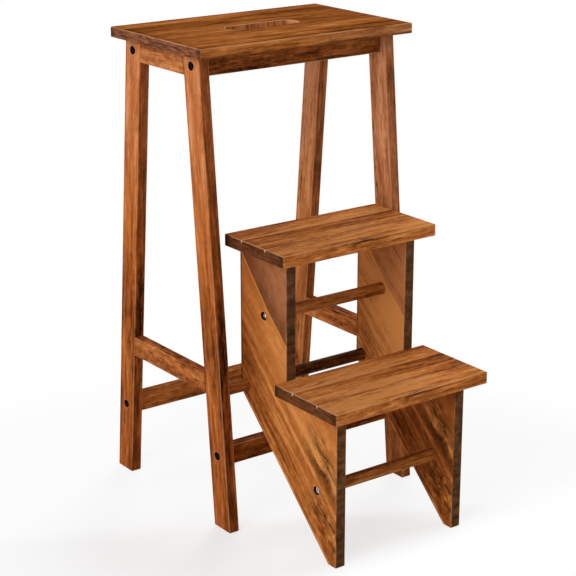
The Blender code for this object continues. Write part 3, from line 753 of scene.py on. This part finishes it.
# %% Bars
bar_looks = {
    "side_apron_left": dict(cut_at=0.2, tone=0.19, tint=(1, 1.06, 1.25), flecks=0.7, mottle=0.8),
    "side_apron_right": dict(cut_at=0.6, tone=0.10),
    "side_rail_left": dict(cut_at=1.2, tone=0.08, flecks=1.0, mottle=0.9, top_shade=0.12),
    "side_rail_right": dict(cut_at=1.9, tone=0.22, flecks=1.0, mottle=0.9, top_shade=0.30),
    "front_apron": dict(cut_at=0.1, tone=-0.20),
    "rear_apron": dict(cut_at=0.8, tone=-0.06),
    "front_lower_rail": dict(cut_at=2.1, tone=-0.25, tint=(1, 0.95, 0.75), flecks=0.8, top_shade=0.10),
    "rear_lower_rail": dict(cut_at=2.9, tone=0.0, tint=(1, 1.09, 1.0), top_shade=0.15,
                            along_tones=((-150, 0.0), (-20, 0.0), (25, 0.16), (150, 0.12))),
}
for node, looks in bar_looks.items():
    low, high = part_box(node)
    half = (high - low) / 2
    angle, halves = (0.0, (half.z, half.x)) if node.startswith("side") else (ALONG_X, (half.y, half.z))
    dress(node, make_wood(f"{node}_wood", angle, (low + high) / 2, halves=halves, worn=0.5, stretch=0.6,
                          **looks))
    print(node, "in mm", round(2 * max(half) / MM))

# %% [markdown]
# The panels are glued from boards that follow the slanted edge. Their pattern is measured from
# the foot of that edge, so a tone at 62 mm is a line 62 mm from the edge. Both panels were
# cut from one thicker board, and show the same two figured patches.

# %% Panels
SLANT_FOOT_Y = -197.8 * MM
SLANT_ANGLE = math.radians(43.5)

panel_tones = ((0, 0.02), (3, 0.06), (5, 0.04), (6.5, -0.20), (8, -0.18), (9.5, 0.06), (12, 0.04),
               (15, -0.02), (54, -0.03), (57, -0.14), (59.5, -0.04), (61.5, 0.12), (64, 0.10), (66.5, 0.0),
               (69, -0.12), (76, -0.07), (81, 0.10), (129, 0.11), (131.5, 0.15), (134, 0.12), (136, -0.04),
               (160, 0.0))
# The right panel's run is painted light: darker low down, in shade under the treads, and lighter higher up.
right_panel_painted_light = ((0, -0.06), (60, -0.23), (150, -0.22), (230, 0.17), (300, 0.27), (400, 0.23))
panel_calm = ((0, 0.10), (60, 0.0), (70, -0.40), (130, -0.55), (200, -0.55))
panel_patches = (((0.100, 0.092, 0), (0.074, 0.044, 0.030)), ((0.036, 0.035, 0), (0.066, 0.042, 0.030)))
panel_looks = {
    "left": dict(tint=(1.01, 1.04, 0.88), corner_board=(135 * MM, (0.68, 0.70, 1.10), 0.8)),
    "right": dict(tint=(0.99, 1.05, 0.92), corner_board=(135 * MM, (0.84, 0.84, 0.98), 0.25),
                  along_tones=right_panel_painted_light),
}
rod_wells = [axis_of(f"rod_bolt_{row}_left") for row in ("upper", "lower")]
for side, looks in panel_looks.items():
    node = f"step_panel_{side}"
    low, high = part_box(node)
    dress(node, make_wood(f"{node}_wood", SLANT_ANGLE, ((low.x + high.x) / 2, SLANT_FOOT_Y, 0), tone=0.25,
                          boards=(65 * MM, 135 * MM), patches=panel_patches, across_tones=panel_tones,
                          calm_across=panel_calm, rear_edge=high.y, end_tint=(0.80, 1.05, 1.1),
                          end_lines=110.0, wells=rod_wells, stretch=0.6, bands=1.3, streaks=0.75,
                          fibres=0.45, mottle=0.6, veins=0.45, curls=0.45, smoke=0.75, **looks))
    print(node, "height in mm", round((high.z - low.z) / MM))

# %% [markdown]
# New pieces are modelled as by hand: a primitive is added at its size and place, and shaped
# in edit mode, where the helpers select what an operator works on by its place. A finished
# piece has flat shading next to its rounded edges, rides on a body and stands for its node.

# %% Modelling helpers
SHARP_ANGLE = math.radians(40)
SMOOTH_ANGLE = math.radians(35)
NEAR = 0.05 * MM
LEVEL = 0.9


def alone(thing):
    """Selects one object and nothing else."""
    bpy.ops.object.select_all(action="DESELECT")
    thing.select_set(True)
    bpy.context.view_layer.objects.active = thing


def choose(kind, wanted):
    """In edit mode, selects the vertices, edges or faces that the test wants."""
    bpy.ops.mesh.select_mode(type=kind)
    bpy.ops.mesh.select_all(action="DESELECT")
    shape = bmesh.from_edit_mesh(bpy.context.object.data)
    for part in {"VERT": shape.verts, "EDGE": shape.edges, "FACE": shape.faces}[kind]:
        if wanted(part):
            part.select_set(True)
    bmesh.update_edit_mesh(bpy.context.object.data)


def keep_place():
    """Puts the selected object's place, turn and scale into its mesh."""
    bpy.ops.object.transform_apply(location=True, rotation=True, scale=True)


def add_block(name, low, high):
    bpy.ops.mesh.primitive_cube_add(size=1, location=(low + high) / 2)
    block = bpy.context.object
    block.name = name
    block.scale = high - low
    keep_place()
    return block


def add_cylinder(name, sides, radius, depth, location, rotation=(0, 0, 0)):
    bpy.ops.mesh.primitive_cylinder_add(vertices=sides, radius=radius, depth=depth, location=location,
                                        rotation=rotation)
    bpy.context.object.name = name
    keep_place()
    return bpy.context.object


def round_edges(piece, width, segments):
    alone(piece)
    bevel = piece.modifiers.new("rounding", "BEVEL")
    bevel.width = width
    bevel.segments = segments
    bevel.limit_method = "ANGLE"
    bevel.angle_limit = SHARP_ANGLE
    bpy.ops.object.modifier_apply(modifier=bevel.name)


def cut_away(piece, cutter):
    """Takes one solid out of another, and removes the cutter."""
    alone(piece)
    cut = piece.modifiers.new("cut", "BOOLEAN")
    cut.solver = "EXACT"
    cut.object = cutter
    bpy.ops.object.modifier_apply(modifier=cut.name)
    bpy.data.objects.remove(cutter)


def finish_piece(piece, material, body, node):
    """Shades a piece, and hands it over to its body in place of its CAD node."""
    alone(piece)
    keep_place()
    bpy.ops.object.shade_smooth_by_angle(angle=SMOOTH_ANGLE)
    flatter = piece.modifiers.new("flat faces", "WEIGHTED_NORMAL")
    flatter.keep_sharp = True
    bpy.ops.object.modifier_apply(modifier=flatter.name)
    piece.data.materials.clear()
    piece.data.materials.append(material)
    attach(piece, body)
    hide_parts(node)
    print(piece.name, "faces", len(piece.data.polygons))


print("edges to round, in degrees", round(math.degrees(SHARP_ANGLE)))

# %% [markdown]
# A tread is three strips glued side by side, with a fine groove where they meet. The block is
# rounded first. Then three cuts with `bisect` mark each groove's two lips and its bottom, and
# the bottom's vertices are pushed down, so that the groove runs out over the rounded ends as
# a plane iron would leave it.

# %% Tread shape
TREAD_ROUNDING = 1.3 * MM
GROOVE_HALF_WIDTH = 1.2 * MM
GROOVE_DEPTH = 1.4 * MM
FRONT_STRIP, REAR_STRIP = 39.4 * MM, 38.4 * MM


def make_tread(node, material):
    low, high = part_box(node)
    tread = add_block(f"{node}_board", low, high)
    round_edges(tread, TREAD_ROUNDING, segments=4)
    bpy.ops.object.mode_set(mode="EDIT")
    for middle in (low.y + FRONT_STRIP, high.y - REAR_STRIP):
        for offset in (-GROOVE_HALF_WIDTH, 0, GROOVE_HALF_WIDTH):
            bpy.ops.mesh.select_all(action="SELECT")
            bpy.ops.mesh.bisect(plane_co=(0, middle + offset, 0), plane_no=(0, 1, 0))
        floor = high.z - TREAD_ROUNDING - NEAR
        choose("VERT", lambda vertex: abs(vertex.co.y - middle) < NEAR and vertex.co.z > floor)
        bpy.ops.transform.translate(value=(0, 0, -GROOVE_DEPTH))
    bpy.ops.object.mode_set(mode="OBJECT")
    finish_piece(tread, material, "step_unit", node)


print("grooves in mm", 2 * GROOVE_HALF_WIDTH / MM, "x", GROOVE_DEPTH / MM)

# %% [markdown]
# Both treads show the same stripes from front to back, as neighbours from one plank do. The
# upper one grows lighter to the right, partly as a painted sheen, and the lower one goes dark
# there. A small knot shows in the middle of the front edge.

# %% Treads
tread_tones = ((0, 0.10), (3, 0.12), (6, 0.04), (14, 0.07), (22, 0.0), (36, 0.08), (38, -0.10), (39.4, 0.16),
               (41, -0.18), (45, -0.02), (52, 0.02), (60, -0.06), (63, -0.16), (65, -0.30), (67, -0.12),
               (74, -0.22), (79, -0.10), (84, -0.22), (87, -0.34), (89, -0.10), (91, 0.22), (94, 0.16),
               (99, 0.06), (104, -0.10), (110, -0.02), (121, -0.14), (126, -0.08), (129.3, -0.22))
# The upper tread's lightening to the right is partly a painted sheen.
upper_tones_and_sheen = ((0, -0.04), (60, 0.0), (130, 0.07), (180, 0.10), (251.3, 0.11))
lower_run = ((0, 0.08), (70, 0.14), (150, 0.16), (185, 0.0), (251.3, -0.18))
tread_knot = (((0.133, 0.0, 0.0), (0.034, 0.007, 0.016)),)
tread_looks = {"upper_tread": dict(tone=0.25, side_shade=0.20, along_tones=upper_tones_and_sheen),
               "lower_tread": dict(tone=0.31, side_shade=0.30, along_tones=lower_run)}
for node, looks in tread_looks.items():
    low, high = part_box(node)
    depth = high.y - low.y
    joints = (FRONT_STRIP, depth - REAR_STRIP)
    wood = make_wood(f"{node}_wood", ALONG_X, (low.x, low.y, (low.z + high.z) / 2), boards=joints,
                     patches=tread_knot, across_tones=tread_tones, tint=(1.02, 1.06, 0.94), chips=joints,
                     end_tint=(0.92, 0.86, 0.86), end_depth=depth, worn=0.8, worn_below=0.25, stretch=0.4,
                     streaks=1.2, fibres=0.85, mottle=0.5, flecks=0.65, veins=0.3, curls=0.0, smoke=0.9,
                     roughness=0.34, specular=0.001, **looks)
    make_tread(node, wood)

# %% [markdown]
# The seat is one wide board with a hand slot. The slot's cutter is a cylinder whose two halves
# are pulled apart. It is turned by half a side, so that no vertex lies between the halves.
# After the cut, the slot's rims are picked by their place and softened, because fingers go
# round them.

# %% Seat shape
SEAT_ROUNDING = 1.5 * MM
SLOT_LENGTH, SLOT_WIDTH = 114 * MM, 34 * MM
SLOT_SIDES = 64
CUTTER_HEIGHT = 3
RIM_ROUNDING = 1.2 * MM


def make_seat(material):
    low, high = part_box("seat_board")
    middle = (low + high) / 2
    thickness = high.z - low.z
    seat = add_block("seat_top_board", low, high)
    round_edges(seat, SEAT_ROUNDING, segments=4)
    cutter = add_cylinder("slot_cutter", SLOT_SIDES, SLOT_WIDTH / 2, CUTTER_HEIGHT * thickness, middle,
                          (0, 0, math.pi / SLOT_SIDES))
    bpy.ops.object.mode_set(mode="EDIT")
    for side in (-1, 1):
        choose("VERT", lambda vertex: (vertex.co.x - middle.x) * side > 0)
        bpy.ops.transform.translate(value=(side * (SLOT_LENGTH - SLOT_WIDTH) / 2, 0, 0))
    bpy.ops.object.mode_set(mode="OBJECT")
    cut_away(seat, cutter)

    def on_rim(edge):
        ends = [vertex.co - middle for vertex in edge.verts]
        in_slot = all(abs(end.x) < SLOT_LENGTH / 2 + NEAR and abs(end.y) < SLOT_WIDTH / 2 + NEAR
                      for end in ends)
        on_face = all(abs(abs(end.z) - thickness / 2) < NEAR for end in ends)
        flat = [abs(face.normal.z) > LEVEL for face in edge.link_faces]
        return in_slot and on_face and any(flat) and not all(flat)

    bpy.ops.object.mode_set(mode="EDIT")
    choose("EDGE", on_rim)
    bpy.ops.mesh.bevel(offset=RIM_ROUNDING, segments=3, affect="EDGES")
    bpy.ops.object.mode_set(mode="OBJECT")
    finish_piece(seat, material, "frame", "seat_board")


print("slot in mm", SLOT_LENGTH / MM, "x", SLOT_WIDTH / MM)

# %% [markdown]
# The seat has dark and pale stripes from front to back, and its front edge turns pinker to
# the right. Its ends are much paler than other end grain. It has no shine at all, because a
# low view over a shiny board would turn it pale.

# %% Seat
seat_tones = ((0, 0.14), (2.5, 0.12), (4.5, -0.14), (8, -0.18), (11, 0.0), (24, 0.04), (28, -0.14),
              (34, -0.14), (38, 0.02), (43, 0.13), (50, 0.13), (62, 0.07), (72, 0.0), (140, 0.0),
              (146, -0.08), (148, -0.22), (151, -0.22), (153, -0.10), (184, -0.10), (190, 0.08), (206, 0.10),
              (211, -0.08), (216.2, -0.22))
seat_run = ((0, -0.10), (9, -0.08), (14, 0.02), (150, 0.02), (200, -0.03), (343, -0.04))
low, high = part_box("seat_board")
slot_middle = (0, (low.y + high.y) / 2, high.z)
make_seat(make_wood("seat_wood", ALONG_X, tuple(low), boards=(72 * MM, 146 * MM), tone=0.02,
                    tint=(1.0, 1.10, 1.0), across_tones=seat_tones, along_tones=seat_run, side_shade=0.05,
                    dark_rim=0.30, pink_side=(150 * MM, 300 * MM, (0.88, 0.97, 1.35)),
                    end_tint=(2.25, 2.35, 2.8), end_depth=high.y - low.y, worn=0.8, worn_below=0.15,
                    slot=(slot_middle, SLOT_LENGTH / 2, SLOT_WIDTH / 2), stretch=0.45, bands=0.75,
                    mottle=0.3, flecks=0.4, specular=0.0))

# %% [markdown]
# The three rods are turned: a cylinder with many sides, and a small chamfer at each end. Their
# grain runs along X as well. They are stained darker than the boards, and the pivot rod is
# darker still between the panels, where painted shade lies on it behind the lower tread.

# %% Rods
ROD_SIDES = 72
ROD_END_ROUNDING = 0.8 * MM


def make_rod(node, material):
    low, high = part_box(node)
    radius, length = (high.y - low.y) / 2, high.x - low.x
    rod = add_cylinder(f"{node}_turned", ROD_SIDES, radius, length, (low + high) / 2, (0, math.pi / 2, 0))
    round_edges(rod, ROD_END_ROUNDING, segments=3)
    finish_piece(rod, material, "step_unit", node)


# The pivot rod's dark tone between the panels, behind the lower tread, is painted shade; its ends outside
# them are lighter.
pivot_painted_shade = ((-200, 0.30), (-104, 0.30), (-92, 0.0), (92, 0.0), (104, 0.30), (200, 0.30))
rod_looks = {
    "upper_rod": dict(start=(0, 0.0, 0.0), tone=0.02),
    "lower_rod": dict(start=(0, 0.3, 0.1), tone=-0.06,
                      along_tones=((-100, -0.04), (0, 0.0), (90, 0.12), (120, 0.06))),
    "pivot_rod": dict(start=(0, 0.6, 0.2), tone=-0.28, along_tones=pivot_painted_shade),
}
for node, looks in rod_looks.items():
    make_rod(node, make_wood(f"{node}_wood", ALONG_X, tint=(1.0, 1.14, 1.05), worn=0, stretch=0.5,
                             mottle=0.4, roughness=0.35, specular=0.006, **looks))

# %% [markdown]
# Grime dulls a metal in blotches, and fine scratches change its roughness and its bump. The
# frame's bolts are blackened, and the panels' bolts are plated bright. The fittings inside
# are zinc-plated steel and brass, and the dowels are plain wood.

# %% Metals
GRIME_LUMPS = (400.0, 400.0, 400.0)
GRIME_SPAN = (0.45, 0.7)
GRIME_LIGHT = 0.4
SCRATCH_LUMPS = (2500.0, 700.0, 700.0)
SCRATCH_ROUGHNESS = 0.2
SCRATCH_STRENGTH, SCRATCH_DEPTH = 0.15, 0.05 * MM


def make_metal(name, colour, roughness, metallic, grime):
    metal = Finish(name)
    place = metal.coordinates("Object")
    blotches = metal.noise(place, GRIME_LUMPS, roughness=0.6).rise(*GRIME_SPAN)
    scratches = metal.noise(place, SCRATCH_LUMPS, detail=2.0, roughness=0.5)
    dulled = metal.blend(blotches * grime, colour, tuple(GRIME_LIGHT * part for part in colour))
    metal.set(base_color=dulled, roughness=roughness + (scratches - 0.5) * SCRATCH_ROUGHNESS,
              metallic=metallic, normal=metal.bump(SCRATCH_STRENGTH, SCRATCH_DEPTH, scratches))
    return metal.material


black_steel = make_metal("black_steel", (0.020, 0.019, 0.018), 0.45, 0.9, 0.3)
bright_steel = make_metal("bright_steel", (0.80, 0.77, 0.70), 0.22, 1.0, 0.6)
zinc_plate = make_metal("zinc_plate", (0.60, 0.60, 0.62), 0.38, 1.0, 0.5)
insert_brass = make_metal("insert_brass", (0.72, 0.52, 0.20), 0.35, 1.0, 0.4)
dowel_wood = make_wood("dowel_wood", math.pi / 2, (0, 0, 0), tone=0.3, flecks=0.1, worn=0)
for node in frame["nodes"]:
    if node.startswith(("barrel_nut", "seat_screw")):
        dress(node, zinc_plate)
    elif node.startswith("rod_insert"):
        dress(node, insert_brass)
    elif node.startswith("tread_dowel"):
        dress(node, dowel_wood)
print("nodes", len(frame["nodes"]), "and materials", len(bpy.data.materials))

# %% [markdown]
# The bolts are socket-head screws. One is modelled along Z: the head is a cylinder, its lower
# face is inset and drawn out into the shank, and a six-sided key cuts the socket.

# %% Bolt shape
BOLT_SIDES = 48
SHANK_RADIUS = 3 * MM
SOCKET_SHARE, SOCKET_DEPTH_SHARE, HEAD_ROUNDING_SHARE = 0.56, 0.6, 0.09


def make_bolt(name, head_radius, head_height, length):
    """A bolt along Z, with its head's top at the origin."""
    bolt = add_cylinder(name, BOLT_SIDES, head_radius, head_height, (0, 0, -head_height / 2))
    bpy.ops.object.mode_set(mode="EDIT")
    choose("FACE", lambda face: face.normal.z < -LEVEL)
    bpy.ops.mesh.inset(thickness=head_radius - SHANK_RADIUS)
    bpy.ops.mesh.extrude_region_move(TRANSFORM_OT_translate={"value": (0, 0, head_height - length)})
    bpy.ops.object.mode_set(mode="OBJECT")
    depth = 2 * head_height * SOCKET_DEPTH_SHARE
    cut_away(bolt, add_cylinder("key", 6, head_radius * SOCKET_SHARE, depth, (0, 0, 0)))
    round_edges(bolt, head_radius * HEAD_ROUNDING_SHARE, segments=2)
    return bolt


print("sockets are", SOCKET_SHARE, "as wide as the heads")

# %% [markdown]
# The CAD model says how wide and how high a head is: its corners lie further from the axis
# than the shank's. Each copy has its own mesh, and is turned to point out of its leg or
# panel, with its head's top where the CAD bolt's is.

# %% Bolts
HEAD_ONLY = 0.8


def place_bolts(prefix, places, material, body):
    """One bolt for each CAD node whose name starts with the prefix."""
    first = f"{prefix}_{places[0]}"
    low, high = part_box(first)
    middle = (low + high) / 2
    radius = (high.z - low.z) / 2
    corners = [vertex.co for vertex in frame["nodes"][first].data.vertices]
    head = [corner.x for corner in corners if (corner - middle).yz.length > HEAD_ONLY * radius]
    model = make_bolt(f"{prefix}_model", radius, max(head) - min(head), high.x - low.x)
    for word in places:
        node = f"{prefix}_{word}"
        low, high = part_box(node)
        side = -1 if low.x + high.x < 0 else 1
        bolt = model.copy()
        bolt.data = model.data.copy()
        bolt.name = f"{node}_socket_head"
        bpy.context.scene.collection.objects.link(bolt)
        bolt.location = (low.x if side < 0 else high.x, *axis_of(node))
        bolt.rotation_euler = (0, side * math.pi / 2, 0)
        finish_piece(bolt, material, body, node)
    bpy.data.objects.remove(model)


members = ("front_apron", "rear_apron", "front_lower_rail", "rear_lower_rail")
frame_places = [f"{member}_{side}" for member in members for side in ("left", "right")]
rod_places = [f"{row}_{side}" for row in ("upper", "lower") for side in ("left", "right")]
place_bolts("frame_bolt", frame_places, black_steel, "frame")
place_bolts("rod_bolt", rod_places, bright_steel, "step_unit")

# %% [markdown]
# The floor is white paper. A share of what is seen of it is its own pale glow, and the rest is
# lit, so it keeps the soft shadow. The share changes from place to place to paint the shadow's
# shape: it is weaker beside the left feet, a painted shadow, and stronger behind them, and it
# grows to the whole further out and in front of the steps, painted light. Gloss and glass see
# the floor as the camera does.

# %% Floor
FLOOR_SIZE = 14.0
PAPER_WHITE, PAPER_ROUGHNESS = (0.95, 0.95, 0.95, 1.0), 0.9
NEAR_GLOW = 0.685
SHADOW_MIDDLE, SHADOW_REACH = (-0.22, -0.22, 0), (0.65, 0.85)
FRONT_DIRECTION, FRONT_REACH = (0, -1, 0), (0.178, 0.253)
REAR_DIRECTION, REAR_REACH, REAR_LIFT = (0.457, 0.89, 0), (-0.116, -0.064), 0.155
SIDE_MIDDLE, SIDE_REACH, SIDE_SHADOW_DEPTH = (-0.277, -0.03, 0), (0.21, -0.02), 0.247


def seen_directly(tree):
    """1 for rays that see the background itself: from the camera, in gloss and in glass."""
    kinds = ("Is Camera Ray", "Is Glossy Ray", "Is Transmission Ray")
    from_camera, in_gloss, in_glass = [add_node(tree, "ShaderNodeLightPath", output=kind) for kind in kinds]
    return (from_camera + in_gloss + in_glass).at_most(1.0)


def paper_share(operation, point, reach):
    """Rises with the distance from a point, or with the way in a direction."""
    return paper.vector(operation, paper.coordinates("Object"), point).rise(*reach)


bpy.ops.mesh.primitive_plane_add(size=FLOOR_SIZE, location=(0, 0, 0))
floor = bpy.context.object
floor.name = "floor"
paper = Finish("floor_paper")
paper.set(base_color=PAPER_WHITE, roughness=PAPER_ROUGHNESS, specular_ior_level=0.0)
glow = paper.node("ShaderNodeEmission", {"Color": (*WHITE, 1.0), "Strength": 1.0})
# The glow's share paints the shadow's shape: less beside the left feet, more behind them and in front.
outside = paper_share("DISTANCE", SHADOW_MIDDLE, SHADOW_REACH)
ahead = paper_share("DOT_PRODUCT", FRONT_DIRECTION, FRONT_REACH)
rearward = paper_share("DOT_PRODUCT", REAR_DIRECTION, REAR_REACH)
shadow_beside = paper_share("DISTANCE", SIDE_MIDDLE, SIDE_REACH)
near = rearward * REAR_LIFT + NEAR_GLOW - shadow_beside * SIDE_SHADOW_DEPTH
share = near + outside.at_least(ahead) * (1 - near)
lit = Socket(paper.tree, paper.shader.outputs[0])
both = paper.node("ShaderNodeMixShader", {0: seen_directly(paper.tree) * share, 1: lit, 2: glow})
wire(paper.tree.nodes["Material Output"].inputs["Surface"], both)
floor.data.materials.append(paper.material)
floor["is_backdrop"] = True
print("floor in metres", [round(side, 1) for side in floor.dimensions])

# %% [markdown]
# The studio is an even white sky. What the camera sees directly is plain white, and the stool
# itself is lit by half of that, so that lamps can still model it: a large soft box on the
# left, one behind, and a weak one in front. The Standard view shows colours as they are
# written.

# %% World and lamps
SKY_LEVEL = 0.5
LAMP_TARGET = Vector((0, 0, 0.3))
LAMPS = {"key_lamp": ((-2.6, -0.9, 1.6), 1.4, 34),
         "back_lamp": ((1.6, 1.5, 2.2), 1.3, 34),
         "front_lamp": ((0.4, -3.2, 1.3), 1.5, 6)}

world = bpy.data.worlds.new("studio")
bpy.context.scene.world = world
world.use_nodes = True
sky = world.node_tree
background = sky.nodes["Background"]
background.inputs["Color"].default_value = (*WHITE, 1.0)
wire(background.inputs["Strength"], seen_directly(sky) * (1 - SKY_LEVEL) + SKY_LEVEL)

for name, (place, size, watts) in LAMPS.items():
    bpy.ops.object.light_add(type="AREA", location=place)
    lamp = bpy.context.object
    lamp.name = name
    lamp.data.size = size
    lamp.data.energy = watts
    lamp.rotation_euler = (LAMP_TARGET - lamp.location).to_track_quat("-Z", "Y").to_euler()
    print(name, "watts", watts)
bpy.context.scene.view_settings.view_transform = "Standard"

# %% [markdown]
# The dressed stool must fill the same box as the CAD model. Its box is measured and
# printed in millimetres.

# %% Measure
low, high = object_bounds()
print("box in mm", [round(side / MM, 1) for side in high - low])
